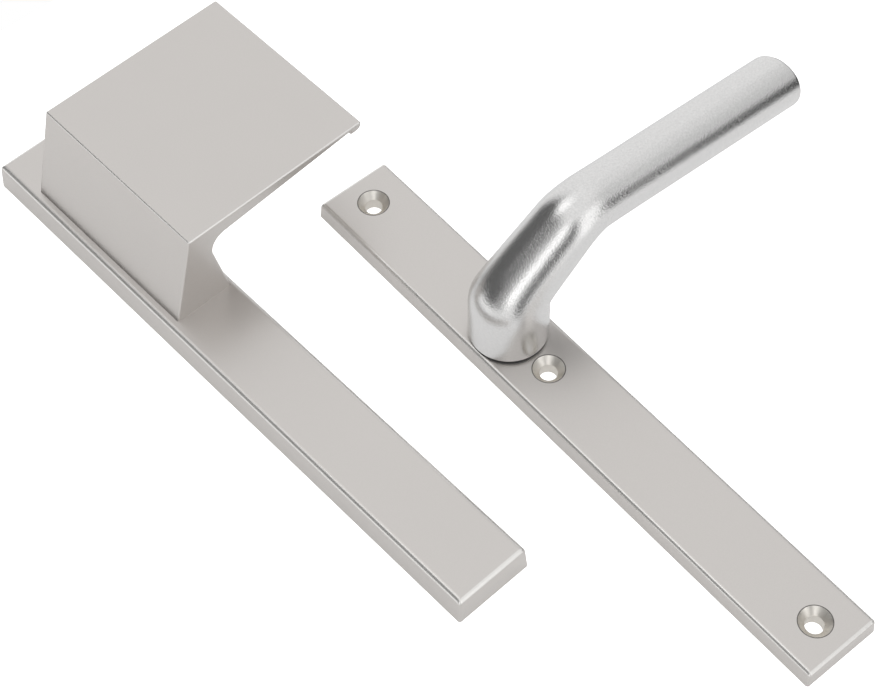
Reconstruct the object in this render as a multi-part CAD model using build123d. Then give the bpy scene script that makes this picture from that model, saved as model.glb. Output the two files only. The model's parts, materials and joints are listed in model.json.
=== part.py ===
from build123d import *
import math
import os

# Security door handle set: an outer plate with a fixed grip, and an inner plate with a lever.
# Both plates lie on their backs. Millimetres, +Z away from the door face.
# The origin is the lever's spindle axis at the back of the inner plate, with +Y along the plate.
os.makedirs("parts", exist_ok=True)

# Plate outline, the same on both sides of the door
plate_length = 248.0
plate_width = 31.0
spindle_to_far_end = 87.1
side_draft = 4.0
corner_round = 1.0
screw_inset = 12.75
mid_screw_from_spindle = 21.1

# Outer plate
outer_thick = 11.2
outer_edge_round = 2.2
outer_rim = 2.8
outer_skin = 3.0
outer_place_x = -76.3
outer_place_y = 89.0
outer_turn = 2.7

# Inner plate
inner_thick = 7.0
inner_edge_round = 1.8
inner_rim = 2.6
inner_skin = 2.6
screw_hole_r = 3.25
countersink_r = 5.7
countersink_half_angle = 45.0
inner_boss_r = 7.4
bearing_block_half = 17.0
rib_thick = 1.5
rib_pitch = 21.0
rib_clear = 1.0

# Threaded posts in the outer plate
post_r = 5.0
post_thread_r = 2.5
post_seat_deep = 1.0
post_blind_end = 1.4
post_chamfer = 0.5
press_gap = 0.02

# Hardened plate behind the outer plate
armour_thick = 3.0
armour_inset = 1.5
armour_side_gap = 0.3
armour_corner_r = 1.5
armour_screw_r = 1.65
armour_screw_head_r = 3.7
armour_screw_bite = 5.0
armour_pillar_r = 4.2
armour_slot_wide = 1.0
armour_slot_deep = 1.0
thread_gap = 0.05

# Fixed grip
grip_near_from_spindle = 13.3
grip_length = 79.8
grip_foot_left = 11.1
grip_foot_right = 12.6
grip_rise = 36.5
grip_left_lean = 15.2
grip_right_lean = 12.0
face_width = 77.4
face_lip_thick = 1.7
face_underside_slope = 4.8
grip_inner_round = 6.5
lip_width = 5.1
lip_drop = 1.7
lip_round = 2.4
lip_nose_round = 0.8
grip_edge_round = 0.8
grip_end_round = 0.7
grip_wall = 3.2
grip_core_rise = 20.0
grip_core_end_wall = 4.0
grip_core_round = 1.2

# Fasteners of the grip, put in from the back of the outer plate
grip_screw_inset = 17.0
grip_screw_r = 2.5
grip_screw_clear_r = 3.2
grip_screw_bite = 12.0
grip_screw_head_r = 5.0
grip_screw_head_high = 2.8
grip_screw_hex = 5.0
grip_screw_hex_deep = 1.6
grip_screw_head_round = 0.5
lock_washer_thick = 0.6
lock_washer_r = 5.2
lock_washer_cut = 1.2
lock_washer_cut_turn = 20.0
grip_pillar_r = 5.6
dowel_r = 2.0
dowel_inset = 7.0
dowel_in_grip = 5.0
dowel_pillar_r = 4.0
dowel_chamfer = 0.4

# Lever: foot, neck and grip, in the plane through the spindle axis
foot_r = 14.2
foot_straight = 13.5
foot_edge = 0.5
foot_bend_r = 14.6
neck_lean = 53.5
neck_straight = 23.0
neck_bend_r = 17.2
neck_end_r = 10.6
lever_droop = 3.8
lever_reach = 123.7
lever_end_r = 10.7
lever_end_slant = 10.0
lever_end_round = 0.6
bend_start_r = 14.0
bend_end_r = 12.9
bend_taper = 0.09
bend_sections = 8

# Lever bearing
ring_thick = 1.1
ring_r = 13.8
sleeve_r = 10.0
spigot_r = 8.0
running_gap = 0.05
bearing_recess_r = 12.2
bearing_recess_deep = 3.2
spigot_back_gap = 0.4
thrust_washer_thick = 0.5
thrust_washer_r = 11.8
thrust_washer_bore_gap = 0.2
disc_spring_thick = 0.4
disc_spring_rise = 0.3
disc_spring_r = 11.4
disc_spring_bore_gap = 0.3
clip_thick = 1.0
clip_groove_deep = 0.8
clip_r = 9.8
clip_slot_half_angle = 22.0
clip_ear_r = 1.9
clip_ear_hole_r = 0.9
clip_ear_turn = 5.0
socket_side = 8.1
socket_deep = 24.0

# Places that follow from the sizes above
far_end_y = spindle_to_far_end
near_end_y = spindle_to_far_end - plate_length
plate_mid_y = (far_end_y + near_end_y) / 2
far_screw_y = far_end_y - screw_inset
mid_screw_y = -mid_screw_from_spindle
near_screw_y = near_end_y + screw_inset
screw_places = {"far": far_screw_y, "mid": mid_screw_y, "near": near_screw_y}
outer_place = Location((outer_place_x, outer_place_y, 0), (0, 0, outer_turn))
pocket_round = 1.5


def cylinder_z(radius, low, high, x=0.0, y=0.0):
    """An upright round bar from one height to another."""
    bar = Cylinder(radius, high - low, align=(Align.CENTER, Align.CENTER, Align.MIN))
    return Pos(x, y, low) * bar


def ring_z(outer_r, bore_r, low, high, x=0.0, y=0.0):
    """A flat ring about an upright axis."""
    return cylinder_z(outer_r, low, high, x, y) - cylinder_z(bore_r, low - 1, high + 1, x, y)


def box_between(x0, x1, y0, y1, z0, z1):
    """A block given by its two corners."""
    block = Box(x1 - x0, y1 - y0, z1 - z0, align=(Align.MIN, Align.MIN, Align.MIN))
    return Pos(x0, y0, z0) * block


def single(shape):
    """The one solid of a finished piece."""
    return shape.solids().sort_by(SortBy.VOLUME)[-1]


def plate_blank(thick, edge_round):
    """A drafted plate with soft upright corners and a rounded top edge."""
    outline = Pos(0, plate_mid_y) * Rectangle(plate_width, plate_length)
    blank = extrude(outline, amount=thick, taper=side_draft)
    upright = [e for e in blank.edges() if e.bounding_box().size.Z > thick * 0.9]
    blank = fillet(upright, corner_round)
    return fillet(blank.faces().sort_by(Axis.Z)[-1].edges(), edge_round)


def pocket_block(rim, low, high, side_gap=0.0, corner_r=pocket_round):
    """The space inside a plate's rim, or what lies in it with a side gap."""
    width = plate_width - 2 * rim - 2 * side_gap
    length = plate_length - 2 * rim - 2 * side_gap
    outline = Pos(0, plate_mid_y, low) * RectangleRounded(width, length, corner_r)
    return extrude(outline, amount=high - low)


def rib_places(start, end):
    """Even places for cross ribs strictly between two bosses."""
    count = max(1, round((end - start) / rib_pitch))
    step = (end - start) / (count + 1)
    return [start + step * (k + 1) for k in range(count)]


# Heights and places inside the outer plate
outer_pocket_top = outer_thick - outer_skin
armour_top = armour_inset + armour_thick
post_top = outer_pocket_top + post_seat_deep
grip_near_y = -grip_near_from_spindle
grip_far_y = grip_near_y + grip_length
grip_mid_x = (grip_foot_right - grip_foot_left) / 2
grip_screw_ys = {"near": grip_near_y + grip_screw_inset, "far": grip_far_y - grip_screw_inset}
dowel_ys = {"near": grip_near_y + dowel_inset, "far": grip_far_y - dowel_inset}
armour_screw_ys = {
    "near": (near_screw_y + mid_screw_y) / 2,
    "far": (grip_screw_ys["near"] + grip_screw_ys["far"]) / 2,
}


def make_outer_plate():
    """Cast cover plate, cored out from the back, with seats for its posts and two screw pillars."""
    plate = plate_blank(outer_thick, outer_edge_round)
    core = pocket_block(outer_rim, -1, outer_pocket_top)
    for y in armour_screw_ys.values():
        core -= cylinder_z(armour_pillar_r, armour_top, outer_pocket_top + 1, 0, y)
    plate -= core
    for y in screw_places.values():
        plate -= cylinder_z(post_r + press_gap, 0, post_top, 0, y)
    for y in armour_screw_ys.values():
        plate -= cylinder_z(armour_screw_r + thread_gap, 0, armour_top + armour_screw_bite, 0, y)
    for y in grip_screw_ys.values():
        plate -= cylinder_z(grip_screw_clear_r, 0, outer_thick + 1, grip_mid_x, y)
    for y in dowel_ys.values():
        plate -= cylinder_z(dowel_r + press_gap, 0, outer_thick + 1, grip_mid_x, y)
    return single(plate)


def make_armour_plate():
    """Hardened steel plate lying in the pocket, holed for the posts and its own screws."""
    armour = pocket_block(outer_rim, armour_inset, armour_top, armour_side_gap, armour_corner_r)
    for y in screw_places.values():
        armour -= cylinder_z(post_r + armour_side_gap, 0, outer_thick, 0, y)
    for y in armour_screw_ys.values():
        armour -= cylinder_z(armour_screw_r + armour_side_gap, 0, outer_thick, 0, y)
        armour -= armour_screw_head(y, armour_side_gap / 3)
    return single(armour)


def armour_screw_head(y, grown=0.0):
    """The 90 degree countersunk head, or its seat when grown a little."""
    high = armour_screw_head_r - armour_screw_r
    cone = Cone(armour_screw_head_r + grown, armour_screw_r + grown, high,
                align=(Align.CENTER, Align.CENTER, Align.MIN))
    return Pos(0, y, armour_inset) * cone


def make_armour_screw(y):
    """Countersunk screw with a slot, threaded into a pillar of the outer plate."""
    tip = armour_top + armour_screw_bite - 2 * thread_gap
    screw = armour_screw_head(y) + cylinder_z(armour_screw_r, armour_inset, tip, 0, y)
    half = armour_slot_wide / 2
    slot_top = armour_inset + armour_slot_deep
    slot = box_between(-armour_screw_head_r, armour_screw_head_r, y - half, y + half, 0, slot_top)
    return single(screw - slot)


def make_screw_post(y):
    """Blind threaded steel post, pressed into the skin, that takes a through screw."""
    post = cylinder_z(post_r, 0, post_top, 0, y)
    post = chamfer(post.edges().sort_by(Axis.Z)[0], post_chamfer)
    return single(post - cylinder_z(post_thread_r, -1, post_top - post_blind_end, 0, y))


def lean_x(start_x, angle, rise):
    """Where a wall that leans left going up stands at a height above its foot."""
    return start_x - math.tan(math.radians(angle)) * rise


def grip_section():
    """The grip's cross-section: a post that narrows upwards and a face that thins to a lip."""
    foot_left = -grip_foot_left
    foot_right = grip_foot_right
    top_left = lean_x(foot_left, -grip_left_lean, grip_rise)
    free_edge = top_left + face_width
    lip_x = free_edge - lip_width
    under_at_lip = grip_rise - face_lip_thick
    slope = math.tan(math.radians(face_underside_slope))
    lean = math.tan(math.radians(grip_right_lean))
    # The underside and the post's right wall meet where both lines agree
    corner_rise = (under_at_lip - slope * (lip_x - foot_right)) / (1 + slope * lean)
    corner_x = foot_right - lean * corner_rise
    points = [
        (foot_left, 0),
        (top_left, grip_rise),
        (free_edge, grip_rise),
        (free_edge, under_at_lip - lip_drop),
        (lip_x, under_at_lip - lip_drop),
        (lip_x, under_at_lip),
        (corner_x, corner_rise),
        (foot_right, 0),
    ]
    face = make_face(Polyline(*points, close=True))

    def at(x, y):
        return face.vertices().sort_by_distance((x, y, 0))[0]

    face = fillet(at(corner_x, corner_rise), grip_inner_round)
    face = fillet(at(free_edge, under_at_lip - lip_drop), lip_round)
    face = fillet(at(lip_x, under_at_lip - lip_drop), lip_nose_round)
    return fillet([at(top_left, grip_rise), at(free_edge, grip_rise)], grip_edge_round)


def along_grip(section, near_y, far_y):
    """A section of the grip carried along the plate, standing on the plate's face."""
    bar = extrude(Plane.XZ * section, amount=far_y - near_y)
    return Pos(0, far_y, outer_thick) * bar


def make_fixed_grip():
    """One casting: post and face, cored out from the foot, with pillars for screws and dowels."""
    body = along_grip(grip_section(), grip_near_y, grip_far_y)
    rims = []
    for end in (body.faces().sort_by(Axis.Y)[0], body.faces().sort_by(Axis.Y)[-1]):
        rims += [e for e in end.edges() if e.center().Z > outer_thick + 0.01]
    body = fillet(rims, grip_end_round)
    left_wall = grip_wall / math.cos(math.radians(grip_left_lean))
    right_wall = grip_wall / math.cos(math.radians(grip_right_lean))
    core_face = make_face(Polyline(
        (-grip_foot_left + left_wall, -1),
        (lean_x(-grip_foot_left + left_wall, -grip_left_lean, grip_core_rise), grip_core_rise),
        (lean_x(grip_foot_right - right_wall, grip_right_lean, grip_core_rise), grip_core_rise),
        (grip_foot_right - right_wall, -1),
        close=True,
    ))
    core = along_grip(core_face, grip_near_y + grip_core_end_wall, grip_far_y - grip_core_end_wall)
    core = fillet(core.edges().filter_by(Axis.Y).sort_by(Axis.Z)[-2:], grip_core_round)
    top = outer_thick + grip_core_rise + 1
    for y in grip_screw_ys.values():
        core -= cylinder_z(grip_pillar_r, outer_thick - 2, top, grip_mid_x, y)
    for y in dowel_ys.values():
        core -= cylinder_z(dowel_pillar_r, outer_thick - 2, top, grip_mid_x, y)
    body -= core
    for y in grip_screw_ys.values():
        body -= cylinder_z(grip_screw_r + thread_gap, 0, outer_thick + grip_screw_bite + 1, grip_mid_x, y)
    for y in dowel_ys.values():
        body -= cylinder_z(dowel_r + press_gap, 0, outer_thick + dowel_in_grip, grip_mid_x, y)
    return single(body)


def make_grip_screw(y):
    """Low head hexagon socket screw, put in from inside the outer plate's pocket."""
    seat = outer_pocket_top - lock_washer_thick
    head = cylinder_z(grip_screw_head_r, seat - grip_screw_head_high, seat, grip_mid_x, y)
    head = fillet(head.edges().sort_by(Axis.Z)[0], grip_screw_head_round)
    screw = head + cylinder_z(grip_screw_r, seat, outer_thick + grip_screw_bite, grip_mid_x, y)
    hexagon = RegularPolygon(grip_screw_hex / 2, 6, major_radius=False)
    low = seat - grip_screw_head_high
    return single(screw - extrude(Pos(grip_mid_x, y, low) * hexagon, amount=grip_screw_hex_deep))


def make_lock_washer(y):
    """Split washer between the screw's head and the plate's skin."""
    low = outer_pocket_top - lock_washer_thick
    washer = ring_z(lock_washer_r, grip_screw_clear_r, low, outer_pocket_top, grip_mid_x, y)
    cut_x = grip_mid_x + lock_washer_r / 2
    cut = Pos(cut_x, y, low) * Rot(0, 0, lock_washer_cut_turn) * Box(lock_washer_r * 2, lock_washer_cut, 4)
    keep = box_between(grip_mid_x, grip_mid_x + 2 * lock_washer_r, y - 9, y + 9, low - 1, low + 3)
    return single(washer - (cut & keep))


def make_dowel(y):
    """Plain locating pin, half in the plate's skin and half in the grip's foot."""
    pin = cylinder_z(dowel_r, outer_pocket_top, outer_thick + dowel_in_grip - press_gap, grip_mid_x, y)
    return single(chamfer(pin.edges().filter_by(GeomType.CIRCLE), dowel_chamfer))


def inner_rib_places():
    """Ribs of the inner plate, clear of its bosses and its bearing block."""
    margin = inner_boss_r + rib_clear
    near = rib_places(near_screw_y + margin, mid_screw_y - margin)
    return near + rib_places(bearing_block_half, far_screw_y - margin)


def make_inner_plate():
    """Cast inner plate: three countersunk holes, and a solid block around the lever's bearing."""
    plate = plate_blank(inner_thick, inner_edge_round)
    pocket_top = inner_thick - inner_skin
    core = pocket_block(inner_rim, -1, pocket_top)
    half = plate_width / 2
    core -= box_between(-half, half, mid_screw_y, bearing_block_half, -2, inner_thick)
    for y in screw_places.values():
        core -= cylinder_z(inner_boss_r, -2, inner_thick, 0, y)
    for y in inner_rib_places():
        core -= box_between(-half, half, y - rib_thick / 2, y + rib_thick / 2, rib_clear, inner_thick)
    plate -= core
    sink_deep = (countersink_r - screw_hole_r) / math.tan(math.radians(countersink_half_angle))
    for y in screw_places.values():
        plate -= cylinder_z(screw_hole_r, -1, inner_thick + 1, 0, y)
        sink = Cone(screw_hole_r, countersink_r, sink_deep, align=(Align.CENTER, Align.CENTER, Align.MAX))
        plate -= Pos(0, y, inner_thick) * sink
    plate -= cylinder_z(sleeve_r + press_gap, -1, inner_thick + 1)
    plate -= cylinder_z(bearing_recess_r, -1, bearing_recess_deep)
    return single(plate)


# Heights of the bearing stack, from the back of the inner plate upwards
ring_top = inner_thick + ring_thick
foot_z = ring_top + running_gap
washer_low = bearing_recess_deep - thrust_washer_thick
spring_top = washer_low - running_gap
clip_top = spring_top - disc_spring_thick - disc_spring_rise
clip_low = clip_top - clip_thick
spigot_bore_r = spigot_r + running_gap


def make_lever_ring():
    """Black bearing bush: a thin flange under the lever's foot and a sleeve through the plate."""
    bush = cylinder_z(ring_r, inner_thick, ring_top)
    bush = fillet(bush.edges().sort_by(Axis.Z)[-1], ring_thick / 3)
    bush += cylinder_z(sleeve_r, bearing_recess_deep, inner_thick)
    return single(bush - cylinder_z(spigot_bore_r, 0, ring_top + 1))


def make_thrust_washer():
    """Steel washer against the bottom of the bearing recess."""
    bore = spigot_r + thrust_washer_bore_gap
    return single(ring_z(thrust_washer_r, bore, washer_low, bearing_recess_deep))


def make_disc_spring():
    """Conical spring washer that takes up the play, between the clip and the thrust washer."""
    bore = spigot_r + disc_spring_bore_gap
    low = clip_top
    profile = Plane.XZ * make_face(Polyline(
        (bore, low),
        (bore, low + disc_spring_thick),
        (disc_spring_r, spring_top),
        (disc_spring_r, spring_top - disc_spring_thick),
        close=True,
    ))
    return single(revolve(profile, Axis.Z))


def make_retaining_clip():
    """Open spring ring with two eyed ends, snapped into the spigot's groove."""
    groove_r = spigot_r - clip_groove_deep + thread_gap
    ring = Circle(clip_r) - Circle(groove_r)
    reach = 2 * clip_r
    spread = reach * math.tan(math.radians(clip_slot_half_angle))
    ring -= make_face(Polyline((0, 0), (spread, -reach), (-spread, -reach), close=True))
    ear_centre_r = (clip_r + groove_r) / 2 + clip_ear_r / 2
    for side in (-1, 1):
        turn = math.radians(clip_slot_half_angle + clip_ear_turn)
        place = Pos(side * math.sin(turn) * ear_centre_r, -math.cos(turn) * ear_centre_r)
        ring += place * Circle(clip_ear_r)
        ring -= place * Circle(clip_ear_hole_r)
    ring -= Circle(groove_r)
    return single(extrude(Pos(0, 0, clip_low) * ring, amount=clip_thick))


# The lever's centreline: straight foot, bend, straight neck, bend, straight grip
neck_lean_rad = math.radians(neck_lean)
grip_lean_rad = math.radians(90 + lever_droop)


def across(x, z, lean):
    """The plane across the lever at a place on its centreline."""
    return Plane(origin=(x, 0, z), x_dir=(0, 1, 0), z_dir=(math.sin(lean), 0, math.cos(lean)))


def further(x, z, lean, distance):
    """A point further along a straight run that leans from the upright."""
    return x + distance * math.sin(lean), z + distance * math.cos(lean)


def bent(x, z, bend_r, lean, new_lean):
    """A point further round a bend."""
    new_x = x + bend_r * (math.cos(lean) - math.cos(new_lean))
    return new_x, z + bend_r * (math.sin(new_lean) - math.sin(lean))


def half_profile(edges):
    """A solid turned from half a profile given in the upright plane."""
    return revolve(Plane.XZ * make_face(edges), Axis.Z)


def lever_foot(top_z):
    """Turned foot with its spigot and the groove for the retaining clip."""
    groove_r = spigot_r - clip_groove_deep
    groove_low = clip_low - thread_gap
    groove_high = clip_top + thread_gap
    below = Polyline(
        (0, top_z),
        (0, spigot_back_gap),
        (spigot_r, spigot_back_gap),
        (spigot_r, groove_low),
        (groove_r, groove_low),
        (groove_r, groove_high),
        (spigot_r, groove_high),
        (spigot_r, foot_z),
        (foot_r - foot_edge, foot_z),
        (foot_r, foot_z + foot_edge),
    )
    wall = Spline((foot_r, foot_z + foot_edge), (bend_start_r, top_z), tangents=((0, 1), (-bend_taper, 1)))
    return half_profile([below, wall, Line((bend_start_r, top_z), (0, top_z))])


def lever_first_bend(foot_top_z):
    """The tapering bend from the foot to the neck."""
    sections = []
    for k in range(bend_sections + 1):
        share = k / bend_sections
        lean = neck_lean_rad * share
        x, z = bent(0, foot_top_z, foot_bend_r, 0, lean)
        sections.append(across(x, z, lean) * Circle(bend_start_r + (bend_end_r - bend_start_r) * share))
    return loft(sections)


def lever_neck():
    """The straight tapering neck, standing on its wide end."""
    wall = Spline((bend_end_r, 0), (neck_end_r, neck_straight), tangents=((-bend_taper, 1), (0, 1)))
    ends = [Line((0, 0), (bend_end_r, 0)), Line((neck_end_r, neck_straight), (0, neck_straight))]
    return half_profile([ends[0], wall, ends[1], Line((0, neck_straight), (0, 0))])


def lever_grip(straight):
    """The round grip, standing on its inner end, and cut off at a slant, longer on its near side."""
    spare = lever_end_r
    bar = half_profile([
        Line((0, 0), (neck_end_r, 0)),
        Line((neck_end_r, 0), (lever_end_r, straight + spare)),
        Line((lever_end_r, straight + spare), (0, straight + spare)),
        Line((0, straight + spare), (0, 0)),
    ])
    slant = math.radians(lever_end_slant)
    cut = Plane(origin=(0, 0, straight), x_dir=(0, 1, 0), z_dir=(math.sin(slant), 0, math.cos(slant)))
    beyond = Box(6 * spare, 6 * spare, 4 * spare, align=(Align.CENTER, Align.CENTER, Align.MIN))
    bar -= cut * beyond
    return fillet(bar.faces().sort_by(Axis.Z)[-1].edges(), lever_end_round)


def make_lever_handle():
    """Solid aluminium lever with a spigot for its bearing and a square spindle socket."""
    foot_top_z = foot_z + foot_straight
    neck_start = bent(0, foot_top_z, foot_bend_r, 0, neck_lean_rad)
    neck_end = further(*neck_start, neck_lean_rad, neck_straight)
    grip_start = bent(*neck_end, neck_bend_r, neck_lean_rad, grip_lean_rad)
    bend_middle = (
        neck_end[0] + neck_bend_r * math.cos(neck_lean_rad),
        0,
        neck_end[1] - neck_bend_r * math.sin(neck_lean_rad),
    )
    grip_straight = (lever_reach - grip_start[0]) / math.sin(grip_lean_rad)
    lever = lever_foot(foot_top_z) + lever_first_bend(foot_top_z)
    lever += across(*neck_start, neck_lean_rad) * lever_neck()
    second = across(*neck_end, neck_lean_rad) * Circle(neck_end_r)
    turned = math.degrees(grip_lean_rad - neck_lean_rad)
    lever += revolve(second, Axis(bend_middle, (0, 1, 0)), turned)
    lever += across(*grip_start, grip_lean_rad) * lever_grip(grip_straight)
    half_side = socket_side / 2
    top = spigot_back_gap + socket_deep
    return single(lever - box_between(-half_side, half_side, -half_side, half_side, -1, top))


def write(name, shape):
    """One STEP file for each piece."""
    export_step(shape, "parts/" + name + ".step")


def write_outer(name, shape):
    """A piece of the outer side, put where the outer plate lies."""
    write(name, outer_place * shape)


write_outer("outer_plate", make_outer_plate())
write_outer("armour_plate", make_armour_plate())
write_outer("fixed_grip", make_fixed_grip())
for place, y in screw_places.items():
    write_outer("screw_post_" + place, make_screw_post(y))
for place, y in armour_screw_ys.items():
    write_outer("armour_screw_" + place, make_armour_screw(y))
for place, y in grip_screw_ys.items():
    write_outer("grip_screw_" + place, make_grip_screw(y))
    write_outer("lock_washer_" + place, make_lock_washer(y))
for place, y in dowel_ys.items():
    write_outer("grip_dowel_" + place, make_dowel(y))
write("inner_plate", make_inner_plate())
write("lever_handle", make_lever_handle())
write("lever_ring", make_lever_ring())
write("thrust_washer", make_thrust_washer())
write("disc_spring", make_disc_spring())
write("retaining_clip", make_retaining_clip())
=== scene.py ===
import json
import math

import bmesh
import bpy
from mathutils import Matrix, Vector


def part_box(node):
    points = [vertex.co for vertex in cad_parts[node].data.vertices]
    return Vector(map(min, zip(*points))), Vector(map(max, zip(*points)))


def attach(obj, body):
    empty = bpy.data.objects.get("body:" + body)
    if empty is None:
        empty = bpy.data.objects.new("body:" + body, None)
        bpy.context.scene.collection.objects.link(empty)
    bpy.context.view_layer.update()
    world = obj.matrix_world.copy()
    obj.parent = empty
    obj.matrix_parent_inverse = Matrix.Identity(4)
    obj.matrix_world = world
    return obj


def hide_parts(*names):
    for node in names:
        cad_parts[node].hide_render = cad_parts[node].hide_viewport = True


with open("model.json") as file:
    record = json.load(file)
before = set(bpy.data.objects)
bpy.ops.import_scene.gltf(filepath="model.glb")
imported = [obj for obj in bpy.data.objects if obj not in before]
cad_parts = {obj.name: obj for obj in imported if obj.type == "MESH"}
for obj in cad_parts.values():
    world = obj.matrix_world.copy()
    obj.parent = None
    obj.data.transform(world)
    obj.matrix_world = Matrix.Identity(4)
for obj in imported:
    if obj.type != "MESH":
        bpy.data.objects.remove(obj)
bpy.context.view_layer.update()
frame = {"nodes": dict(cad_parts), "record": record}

# Outer plate and fixed grip: cored aluminium castings, finely blasted and finished a warm satin
# silver, with a highlight painted on their rounded edges, which are lighter, less metallic and a
# little smoother. The plate lies flat on the door, and the grip stands on the plate's face and is
# screwed to it from behind.
plate_tone = (0.655, 0.629, 0.606)
plate_roughness = 0.36
plate_grain_scale = 2600.0
plate_grain_depth = 0.000004
painted_highlight_tone = (0.9, 0.885, 0.86, 1)
painted_highlight_smoother = 0.08
painted_highlight_less_metallic = 0.2
# The edge highlight is painted where an edge leans between a wall and a flat top. These are the
# heights of its normal at which the painted highlight begins and is full, on the wall's side and
# on the top's side
wall_no_highlight, wall_full_highlight = 0.35, 0.6
top_no_highlight, top_full_highlight = 0.985, 0.9


def maths(tree, operation, *values):
    """One maths node: numbers are set on it and sockets are wired to it."""
    node = tree.nodes.new("ShaderNodeMath")
    node.operation = operation
    for slot, value in enumerate(values):
        if isinstance(value, (int, float)):
            node.inputs[slot].default_value = value
        else:
            tree.links.new(value, node.inputs[slot])
    return node.outputs[0]


def soft_step(tree, value, low, high):
    """0 at low and 1 at high, smooth between them; low may be the larger."""
    node = tree.nodes.new("ShaderNodeMapRange")
    node.interpolation_type = "SMOOTHSTEP"
    tree.links.new(value, node.inputs["Value"])
    node.inputs["From Min"].default_value = low
    node.inputs["From Max"].default_value = high
    return node.outputs["Result"]


def mix_colour(tree, share, first, second):
    """The first colour where share is 0 and the second where it is 1."""
    node = tree.nodes.new("ShaderNodeMix")
    node.data_type = "RGBA"
    given = {socket.identifier: socket for socket in node.inputs}
    tree.links.new(share, given["Factor_Float"])
    tree.links.new(first, given["A_Color"])
    if isinstance(second, tuple):
        given["B_Color"].default_value = second
    else:
        tree.links.new(second, given["B_Color"])
    return next(socket for socket in node.outputs if socket.identifier == "Result_Color")


def new_group(name, inputs, outputs):
    """An empty shader group with its inputs and outputs.

    Each input is given as (name, kind, default) and each output as (name, kind)."""
    tree = bpy.data.node_groups.new(name, "ShaderNodeTree")
    for title, kind, default in inputs:
        tree.interface.new_socket(title, in_out="INPUT", socket_type=kind).default_value = default
    for title, kind in outputs:
        tree.interface.new_socket(title, in_out="OUTPUT", socket_type=kind)
    return tree, tree.nodes.new("NodeGroupInput").outputs, tree.nodes.new("NodeGroupOutput").inputs


def noise(tree, scale, detail):
    """Noise on Object coordinates."""
    coordinates = tree.nodes.new("ShaderNodeTexCoord")
    node = tree.nodes.new("ShaderNodeTexNoise")
    node.inputs["Detail"].default_value = detail
    tree.links.new(coordinates.outputs["Object"], node.inputs["Vector"])
    tree.links.new(scale, node.inputs["Scale"])
    return node


def satin_grain_group():
    """Fine cast or blasted grain: a height for bump, and small changes of roughness and tone."""
    tree, given, out = new_group(
        "satin_grain",
        [("Grain Scale", "NodeSocketFloat", 3000.0), ("Cloud Scale", "NodeSocketFloat", 40.0),
         ("Roughness", "NodeSocketFloat", 0.35), ("Roughness Change", "NodeSocketFloat", 0.04),
         ("Tone", "NodeSocketColor", (0.7, 0.7, 0.7, 1)), ("Tone Change", "NodeSocketFloat", 0.03),
         ("Grain Tone", "NodeSocketFloat", 0.1)],
        [("Height", "NodeSocketFloat"), ("Roughness", "NodeSocketFloat"), ("Color", "NodeSocketColor")],
    )
    grain = noise(tree, given["Grain Scale"], 3.0)
    grain.inputs["Roughness"].default_value = 0.6
    cloud = noise(tree, given["Cloud Scale"], 2.0)
    drift = maths(tree, "SUBTRACT", cloud.outputs["Fac"], 0.5)
    speck = maths(tree, "SUBTRACT", grain.outputs["Fac"], 0.5)
    lighter = maths(tree, "MULTIPLY_ADD", drift, given["Tone Change"], 1.0)
    lighter = maths(tree, "MULTIPLY_ADD", speck, given["Grain Tone"], lighter)
    scaled = tree.nodes.new("ShaderNodeVectorMath")
    scaled.operation = "SCALE"
    tree.links.new(given["Tone"], scaled.inputs[0])
    tree.links.new(lighter, scaled.inputs["Scale"])
    rougher = maths(tree, "MULTIPLY_ADD", drift, given["Roughness Change"], given["Roughness"])
    tree.links.new(grain.outputs["Fac"], out["Height"])
    tree.links.new(rougher, out["Roughness"])
    tree.links.new(scaled.outputs[0], out["Color"])
    return tree


def painted_edge_highlight_group():
    """Rounded edges, found by how far they lean, get a painted highlight: another tone, and smoother.

    Where Spared is 1 no highlight is painted."""
    tree, given, out = new_group(
        "worn_edges",
        [("Color", "NodeSocketColor", (0.7, 0.7, 0.7, 1)), ("Roughness", "NodeSocketFloat", 0.35),
         ("Worn Tone", "NodeSocketColor", (0.9, 0.9, 0.9, 1)), ("Smoother", "NodeSocketFloat", 0.1),
         ("Less Metallic", "NodeSocketFloat", 0.0), ("Spared", "NodeSocketFloat", 0.0)],
        [("Color", "NodeSocketColor"), ("Metallic", "NodeSocketFloat"), ("Roughness", "NodeSocketFloat")],
    )
    normal = tree.nodes.new("ShaderNodeSeparateXYZ")
    tree.links.new(tree.nodes.new("ShaderNodeTexCoord").outputs["Normal"], normal.inputs[0])
    off_wall = soft_step(tree, normal.outputs["Z"], wall_no_highlight, wall_full_highlight)
    off_top = soft_step(tree, normal.outputs["Z"], top_no_highlight, top_full_highlight)
    # Share of the highlight painted on the rounded edges
    painted_highlight = maths(tree, "MULTIPLY", off_wall, off_top)
    painted_highlight = maths(tree, "MULTIPLY", painted_highlight, maths(tree, "SUBTRACT", 1.0, given["Spared"]))
    less_metallic = maths(tree, "MULTIPLY", painted_highlight, given["Less Metallic"])
    smoother = maths(tree, "MULTIPLY", painted_highlight, given["Smoother"])
    tree.links.new(mix_colour(tree, painted_highlight, given["Color"], given["Worn Tone"]), out["Color"])
    tree.links.new(maths(tree, "SUBTRACT", 1.0, less_metallic), out["Metallic"])
    tree.links.new(maths(tree, "SUBTRACT", given["Roughness"], smoother), out["Roughness"])
    return tree


satin_grain = satin_grain_group()
worn_edges = painted_edge_highlight_group()


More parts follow.
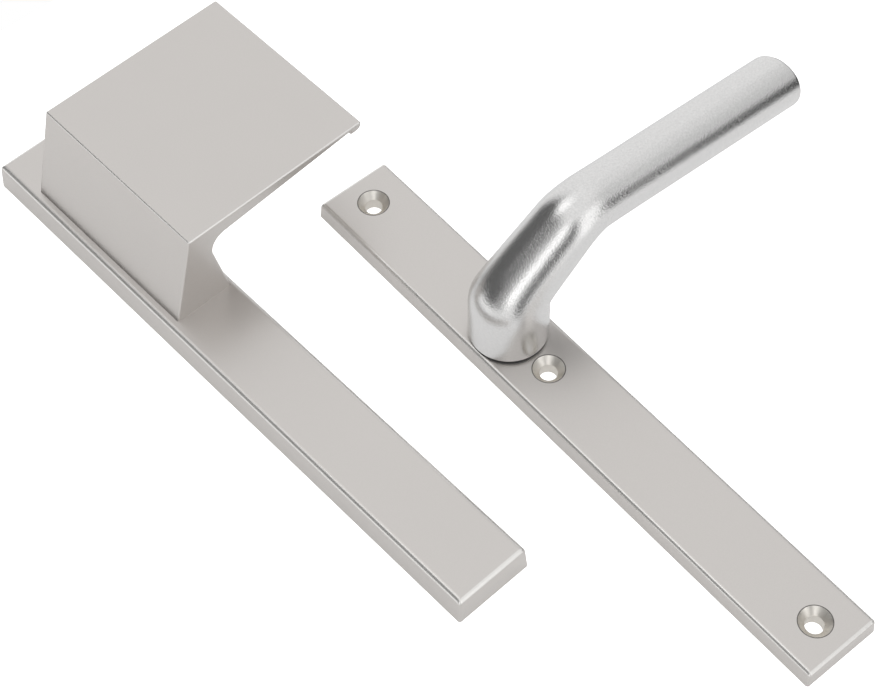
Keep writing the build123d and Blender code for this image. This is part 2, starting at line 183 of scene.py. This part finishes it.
def satin_metal(name, tone, roughness, grain_scale, grain_depth, grain_tone=0.1, metallic=1.0):
    """A material with fine grain; its nodes named grain and bump can be wired further."""
    made = bpy.data.materials.new(name)
    made.use_nodes = True
    tree = made.node_tree
    shader = tree.nodes["Principled BSDF"]
    shader.inputs["Metallic"].default_value = metallic
    grain = tree.nodes.new("ShaderNodeGroup")
    grain.name = "grain"
    grain.node_tree = satin_grain
    grain.inputs["Grain Scale"].default_value = grain_scale
    grain.inputs["Roughness"].default_value = roughness
    grain.inputs["Tone"].default_value = (*tone, 1)
    grain.inputs["Grain Tone"].default_value = grain_tone
    bump = tree.nodes.new("ShaderNodeBump")
    bump.name = "bump"
    bump.inputs["Distance"].default_value = grain_depth
    tree.links.new(grain.outputs["Height"], bump.inputs["Height"])
    tree.links.new(bump.outputs["Normal"], shader.inputs["Normal"])
    tree.links.new(grain.outputs["Roughness"], shader.inputs["Roughness"])
    tree.links.new(grain.outputs["Color"], shader.inputs["Base Color"])
    return made


def plate_metal(name):
    """The plates' satin silver, with a highlight painted on the rounded edges by a group node."""
    made = satin_metal(name, plate_tone, plate_roughness, plate_grain_scale, plate_grain_depth)
    tree = made.node_tree
    shader, grain = tree.nodes["Principled BSDF"], tree.nodes["grain"]
    # A highlight painted on the rounded edges: lighter tone, less metallic, a little smoother
    wear = tree.nodes.new("ShaderNodeGroup")
    wear.name = "wear"
    wear.node_tree = worn_edges
    wear.inputs["Worn Tone"].default_value = painted_highlight_tone
    wear.inputs["Smoother"].default_value = painted_highlight_smoother
    wear.inputs["Less Metallic"].default_value = painted_highlight_less_metallic
    tree.links.new(grain.outputs["Color"], wear.inputs["Color"])
    tree.links.new(grain.outputs["Roughness"], wear.inputs["Roughness"])
    tree.links.new(wear.outputs["Color"], shader.inputs["Base Color"])
    tree.links.new(wear.outputs["Metallic"], shader.inputs["Metallic"])
    tree.links.new(wear.outputs["Roughness"], shader.inputs["Roughness"])
    return made


def dress(material, *nodes):
    """Gives CAD nodes their finish."""
    for node in nodes:
        finish = frame["nodes"][node].data.materials
        finish.clear()
        finish.append(material)


plate_silver = plate_metal("plate_silver")
dress(plate_silver, "outer_plate", "fixed_grip")

# Armour plate and fixings behind the outer plate: a ground plate of hardened steel that covers the
# lock, its two countersunk screws, three threaded posts for the through screws, and the two screws,
# two washers and two dowels that hold the grip. Plate and dowels are dark, the others zinc plated.
dark_steel = satin_metal("dark_steel", (0.24, 0.24, 0.25), 0.42, 900.0, 0.00001)
zinc_steel = satin_metal("zinc_steel", (0.62, 0.63, 0.65), 0.3, 1500.0, 0.000004)
dress(dark_steel, "armour_plate", "grip_dowel_near", "grip_dowel_far")
dress(zinc_steel, "armour_screw_near", "armour_screw_far",
      "screw_post_far", "screw_post_mid", "screw_post_near",
      "grip_screw_near", "grip_screw_far", "lock_washer_near", "lock_washer_far")

# Inner plate: an aluminium casting finished like the outer plate, thinner, with three holes that are
# drilled and countersunk after the finish, so that their cones are brighter bare metal with fine
# turning grooves and a thin dark rim.
sink_tone = (0.84, 0.81, 0.76, 1)
sink_radius = 0.0058
sink_edge_soft = 0.00005
flat_top, leaning_cone = 0.99, 0.9
turning_waves = 25000.0
turning_height = 2.2
rim_tone = (0.12, 0.115, 0.11, 1)
rim_dark_to, rim_gone_at = 0.00008, 0.00022
plate_silver_drilled = plate_metal("plate_silver_drilled")
tree = plate_silver_drilled.node_tree
coordinates = tree.nodes.new("ShaderNodeTexCoord")
spot = tree.nodes.new("ShaderNodeSeparateXYZ")
normal = tree.nodes.new("ShaderNodeSeparateXYZ")
tree.links.new(coordinates.outputs["Object"], spot.inputs[0])
tree.links.new(coordinates.outputs["Normal"], normal.inputs[0])
mounts = {mount["name"]: mount for mount in frame["record"]["mounts"]}
end_holes = mounts["inner_screws"]
end_holes_y, half_spacing = end_holes["pos_m"][1], end_holes["dims"]["spacing_y_mm"] / 2000
middle_hole_y = mounts["inner_mid_screw"]["pos_m"][1]
sideways_squared = maths(tree, "MULTIPLY", spot.outputs["X"], spot.outputs["X"])
from_axis = 1.0
for hole_y in (end_holes_y - half_spacing, end_holes_y + half_spacing, middle_hole_y):
    along = maths(tree, "SUBTRACT", spot.outputs["Y"], hole_y)
    squared = maths(tree, "ADD", sideways_squared, maths(tree, "MULTIPLY", along, along))
    from_axis = maths(tree, "MINIMUM", from_axis, maths(tree, "SQRT", squared))
sink = soft_step(tree, from_axis, sink_radius + sink_edge_soft, sink_radius - sink_edge_soft)
sink = maths(tree, "MULTIPLY", sink, soft_step(tree, normal.outputs["Z"], flat_top, leaning_cone))
from_rim = maths(tree, "ABSOLUTE", maths(tree, "SUBTRACT", from_axis, sink_radius))
rim = soft_step(tree, from_rim, rim_gone_at, rim_dark_to)
waves = maths(tree, "SINE", maths(tree, "MULTIPLY", from_axis, turning_waves))
grooves = maths(tree, "MULTIPLY", waves, maths(tree, "MULTIPLY", sink, turning_height))
height = maths(tree, "ADD", tree.nodes["grain"].outputs["Height"], grooves)
tone = mix_colour(tree, sink, tree.nodes["wear"].outputs["Color"], sink_tone)
tone = mix_colour(tree, rim, tone, rim_tone)
# The countersink cones get no painted edge highlight
tree.links.new(sink, tree.nodes["wear"].inputs["Spared"])
tree.links.new(height, tree.nodes["bump"].inputs["Height"])
tree.links.new(tone, tree.nodes["Principled BSDF"].inputs["Base Color"])
dress(plate_silver_drilled, "inner_plate")

# Bearing ring: moulded in black plastic, with a sleeve through the inner plate and a thin flange
# under the lever's foot. Only the flange's dark line shows.
ring_black = satin_metal("ring_black", (0.02, 0.02, 0.022), 0.5, 1500.0, 0.00001, metallic=0.0)
dress(ring_black, "lever_ring")

# Lever: one aluminium casting with a wide foot, a leaning neck and a slimmer round grip cut off
# at a slant, blasted and anodised. A turned spigot under the foot runs in the plate's bearing,
# is held by a clip in its groove, and has a square socket for the lock's spindle.
mm = 0.001
foot_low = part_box("lever_ring")[1][2] + 0.05 * mm
lever_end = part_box("lever_handle")[1][0]
foot_radius, foot_edge = 14.2 * mm, 0.5 * mm
elbow_height = 29.0 * mm
neck_lean = math.radians(53.5)
neck_length = 36.7 * mm
neck_low_radius, neck_high_radius = 12.9 * mm, 11.3 * mm
grip_lean = math.radians(93.8)
waist_radius, grip_radius, grip_end_radius = 10.7 * mm, 10.6 * mm, 10.7 * mm
grip_end_round = 1.1 * mm
grip_end_slant = math.radians(10.0)
slant_start = 30.0 * mm
# Each bend has an outer and an inner cut on either side of its middle. They are given by how far
# they stand from it, and by the share of half the bend's turn that they take
outer_share = 0.3
elbow_outer, elbow_inner, elbow_share = 9.0 * mm, 3.0 * mm, 0.78
shoulder_before, shoulder_after = 9.0 * mm, 8.0 * mm
shoulder_inner, shoulder_share = 4.0 * mm, 0.7
half_elbow = neck_lean / 2
half_shoulder = (grip_lean - neck_lean) / 2
lever_sides = 32
# A smoothed ring ends up a little inside its corners, by this share
ring_loss = (2 + math.cos(2 * math.pi / lever_sides)) / 3


def run_point(start, lean, distance):
    """A point on a straight run of the lever, which leans from the upright towards +X."""
    return start + Vector((math.sin(lean), 0, math.cos(lean))) * distance


def cut_ring(centre, lean, radius, turn, side_turn=0.0):
    """The matrix that turns a unit circle into a plane's cut through a round run that leans.

    The plane is square to the run, then turned by turn towards +X and by side_turn towards +Y."""
    axis = Vector((math.sin(lean), 0, math.cos(lean)))
    front_row = (Vector((math.cos(lean), 0, -math.sin(lean))) - axis * math.tan(turn)) * radius
    side_row = (Vector((0, 1, 0)) - axis * math.tan(side_turn)) * radius
    return Matrix.Translation(centre) @ Matrix((front_row, side_row, axis)).transposed().to_4x4()


elbow = Vector((0, 0, elbow_height))
shoulder = run_point(elbow, neck_lean, neck_length)
grip_length = (lever_end - shoulder.x) / math.sin(grip_lean)


def on_foot(height, turn=0.0):
    """One cut across the upright foot."""
    return cut_ring(Vector((0, 0, height)), 0, foot_radius, turn)


def on_neck(distance, turn=0.0):
    """One cut across the neck, which tapers evenly from the elbow to the shoulder."""
    radius = neck_low_radius + (neck_high_radius - neck_low_radius) * distance / neck_length
    return cut_ring(run_point(elbow, neck_lean, distance), neck_lean, radius, turn)


def on_grip(distance, radius, turn=0.0, side_turn=0.0):
    """One cut across the grip."""
    return cut_ring(run_point(shoulder, grip_lean, distance), grip_lean, radius, turn, side_turn)


rings = [
    on_foot(foot_low + foot_edge),
    on_foot(foot_low + 3 * mm),
    on_foot(foot_low + 8 * mm),
    on_foot(elbow_height - elbow_outer, half_elbow * outer_share),
    on_foot(elbow_height - elbow_inner, half_elbow * elbow_share),
    on_neck(elbow_inner, -half_elbow * elbow_share),
    on_neck(elbow_outer, -half_elbow * outer_share),
    on_neck(16 * mm),
    on_neck(neck_length - 14 * mm),
    on_neck(neck_length - shoulder_before, half_shoulder * outer_share),
    on_neck(neck_length - shoulder_inner, half_shoulder * shoulder_share),
    on_grip(shoulder_inner, waist_radius, -half_shoulder * shoulder_share),
    on_grip(shoulder_after, waist_radius, -half_shoulder * outer_share),
    on_grip(14 * mm, grip_radius),
]
for short in (slant_start, 10 * mm, 3 * mm):
    slanted = grip_end_slant * (slant_start - short) / slant_start
    rings.append(on_grip(grip_length - short, grip_end_radius, side_turn=slanted))
# Close rings hold the end's small round, and the last ones lie in its flat cut
for short, inset in ((1.5 * mm, 0), (grip_end_round, 0), (0.1 * mm, 0.1 * mm),
                     (0, grip_end_round), (0, 2 * mm), (0, 6 * mm)):
    rings.append(on_grip(grip_length - short, grip_end_radius - inset, side_turn=grip_end_slant))


def pull_out(shape, loop):
    """Extrudes a loop of edges once: the new loop and its corners, still in place."""
    grown = bmesh.ops.extrude_edge_only(shape, edges=loop)["geom"]
    return ([part for part in grown if isinstance(part, bmesh.types.BMEdge)],
            [part for part in grown if isinstance(part, bmesh.types.BMVert)])


shape = bmesh.new()
bmesh.ops.create_circle(shape, segments=lever_sides, radius=1 / ring_loss, matrix=rings[0])
loop = shape.edges[:]
for before, after in zip(rings, rings[1:]):
    loop, corners = pull_out(shape, loop)
    bmesh.ops.transform(shape, matrix=after @ before.inverted(), verts=corners)
bmesh.ops.holes_fill(shape, edges=loop)
cage_mesh = bpy.data.meshes.new("lever_cage")
shape.to_mesh(cage_mesh)
shape.free()
cage = bpy.data.objects.new("lever_cage", cage_mesh)
bpy.context.scene.collection.objects.link(cage)
smoothing = cage.modifiers.new("smooth", "SUBSURF")
smoothing.levels = smoothing.render_levels = 2
lever_mesh = bpy.data.meshes.new_from_object(cage.evaluated_get(bpy.context.evaluated_depsgraph_get()))
bpy.data.objects.remove(cage)
bpy.data.meshes.remove(cage_mesh)

# The turned end below: foot edge, spigot, clip groove and square socket, each step one more loop
spigot_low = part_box("lever_handle")[0][2]
spigot_radius, spigot_chamfer = 8.0 * mm, 0.4 * mm
groove_radius, groove_play = 7.2 * mm, 0.05 * mm
groove_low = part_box("retaining_clip")[0][2] - groove_play
groove_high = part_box("retaining_clip")[1][2] + groove_play
socket_half, socket_depth = 4.05 * mm, 24.0 * mm


def sharpen(loop):
    """Keeps a loop of edges crisp in the smooth shading."""
    for edge in loop:
        edge.smooth = False


shape = bmesh.new()
shape.from_mesh(lever_mesh)
loop = [edge for edge in shape.edges if edge.is_boundary]
for radius, height in (
    (foot_radius - foot_edge, foot_low), (spigot_radius, foot_low), (spigot_radius, groove_high),
    (groove_radius, groove_high), (groove_radius, groove_low), (spigot_radius, groove_low),
    (spigot_radius, spigot_low + spigot_chamfer), (spigot_radius - spigot_chamfer, spigot_low),
):
    sharpen(loop)
    loop, corners = pull_out(shape, loop)
    for corner in corners:
        corner.co = (*(corner.co.xy.normalized() * radius), height)
for height in (spigot_low, spigot_low + socket_depth):
    sharpen(loop)
    loop, corners = pull_out(shape, loop)
    for corner in corners:
        to_square = socket_half / max(abs(corner.co.x), abs(corner.co.y))
        corner.co = (*(corner.co.xy * to_square), height)
sharpen(loop)
bmesh.ops.holes_fill(shape, edges=loop)
bmesh.ops.recalc_face_normals(shape, faces=shape.faces)
for face in shape.faces:
    face.smooth = True
shape.to_mesh(lever_mesh)
shape.free()
lever = bpy.data.objects.new("lever_casting", lever_mesh)
bpy.context.scene.collection.objects.link(lever)
lever_aluminium = satin_metal(
    "lever_aluminium", (0.745, 0.74, 0.735), 0.21, 1550.0, 0.00008, grain_tone=0.3)
lever_mesh.materials.clear()
lever_mesh.materials.append(lever_aluminium)
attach(lever, "lever")
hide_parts("lever_handle")

# Thrust washer, disc spring and retaining clip: steel pieces in a recess in the inner plate's back,
# which hold the lever's spigot in its bearing without play. The washer is zinc plated, and the
# other two are oiled black.
spring_steel = satin_metal("spring_steel", (0.1, 0.1, 0.11), 0.35, 1500.0, 0.000004)
dress(zinc_steel, "thrust_washer")
dress(spring_steel, "disc_spring", "retaining_clip")

# Table: a white translucent sheet, lit from below so that it glows a little and shadows on it
# stay pale. It ends a short way past the set, and beyond it is the studio's own white.
table_half, table_drop = 0.24, 0.0002
table_white, table_roughness = 0.62, 0.9
table_glow, table_lift = 0.385, 0.8
floor_mesh = bpy.data.meshes.new("floor")
shape = bmesh.new()
bmesh.ops.create_grid(shape, x_segments=1, y_segments=1, size=table_half)
bmesh.ops.translate(shape, verts=shape.verts, vec=(0, 0, -table_drop))
shape.to_mesh(floor_mesh)
shape.free()
floor = bpy.data.objects.new("floor", floor_mesh)
bpy.context.scene.collection.objects.link(floor)
white = bpy.data.materials.new("floor_white")
white.use_nodes = True
tree = white.node_tree
sheet = tree.nodes["Principled BSDF"]
sheet.inputs["Base Color"].default_value = (table_white, table_white, table_white, 1)
sheet.inputs["Roughness"].default_value = table_roughness
sheet.inputs["Specular IOR Level"].default_value = 0.0
sheet.inputs["Emission Color"].default_value = (1, 1, 1, 1)
seen = tree.nodes.new("ShaderNodeLightPath").outputs["Is Camera Ray"]
glow = maths(tree, "MULTIPLY_ADD", seen, table_lift, table_glow)
tree.links.new(glow, sheet.inputs["Emission Strength"])
floor_mesh.materials.append(white)

# Studio: an even white tent with a few soft panels, some lit and some left dark. Each panel is a
# patch of the world's sky: azimuth and elevation of its middle, its half width and half height,
# the width of its soft edge, all in degrees, and how bright it is.
tent_level = 0.93
panels = {
    "dark room far left": (141, 25, 48, 33, 16, 0.135),
    "low light left": (163, -3, 29, 13, 9, 1.08),
    "dusk left": (-162, 33, 13, 22, 16, 0.36),
    "second lamp": (-76, 8, 12, 32, 12, 1.35),
    "dark strip between lamps": (-105, 8, 9, 30, 14, 0.03),
    "dim right": (-23, 27, 39, 23, 16, 0.68),
    "dark gap at the right": (-14, 3, 49, 15, 11, 0.0),
    "key light": (-131, 31, 9, 10, 18, 2.0),
    "lamp overhead": (126, 68, 31, 14, 10, 1.5),
}
world = bpy.data.worlds.new("studio")
bpy.context.scene.world = world
world.use_nodes = True
sky = world.node_tree


def within(angle, middle, half, soft):
    """1 inside a band of angles, falling smoothly to 0 across its soft edge."""
    away = maths(sky, "WRAP", maths(sky, "SUBTRACT", angle, math.radians(middle)), math.pi, -math.pi)
    outer, inner = math.radians(half + soft / 2), math.radians(half - soft / 2)
    return soft_step(sky, maths(sky, "ABSOLUTE", away), outer, inner)


direction = sky.nodes.new("ShaderNodeSeparateXYZ")
sky.links.new(sky.nodes.new("ShaderNodeTexCoord").outputs["Generated"], direction.inputs[0])
around = maths(sky, "ARCTAN2", direction.outputs["Y"], direction.outputs["X"])
above = maths(sky, "ARCSINE", direction.outputs["Z"])
level = maths(sky, "ADD", tent_level, 0.0)
for middle_across, middle_up, half_across, half_up, soft_edge, panel_level in panels.values():
    share = maths(sky, "MULTIPLY", within(around, middle_across, half_across, soft_edge),
                  within(above, middle_up, half_up, soft_edge))
    level = maths(sky, "MULTIPLY_ADD", share, maths(sky, "SUBTRACT", panel_level, level), level)
seen = sky.nodes.new("ShaderNodeLightPath").outputs["Is Camera Ray"]
level = maths(sky, "MULTIPLY_ADD", seen, maths(sky, "SUBTRACT", 1.0, level), level)
sky.links.new(level, sky.nodes["Background"].inputs["Strength"])
sky.nodes["Background"].inputs["Color"].default_value = (1, 1, 1, 1)

# Camera: the photograph's own viewpoint, worked out from the edges and holes of the two plates.
# It stands in front and to the left of the set, and looks down on it through a longish lens.
camera_place = (-0.28328, -0.30938, 0.61591)
azimuth, elevation, roll = math.radians(-39.116), math.radians(55.795), math.radians(-1.278)
camera_lens, camera_sensor = 87.145, 36.0
back = Vector((math.sin(azimuth) * math.cos(elevation), -math.cos(azimuth) * math.cos(elevation),
               math.sin(elevation)))
right = Vector((math.cos(azimuth), math.sin(azimuth), 0))
up = back.cross(right)
across = right * math.cos(roll) + up * math.sin(roll)
upward = up * math.cos(roll) - right * math.sin(roll)
turned = Matrix((across, upward, back)).transposed().to_4x4()
camera_data = bpy.data.cameras.new("camera")
camera_data.lens = camera_lens
camera_data.sensor_width = camera_sensor
camera_data.sensor_fit = "HORIZONTAL"
camera = bpy.data.objects.new("camera", camera_data)
bpy.context.scene.collection.objects.link(camera)
camera.matrix_world = Matrix.Translation(camera_place) @ turned
bpy.context.scene.camera = camera
bpy.context.scene.view_settings.view_transform = "Standard"
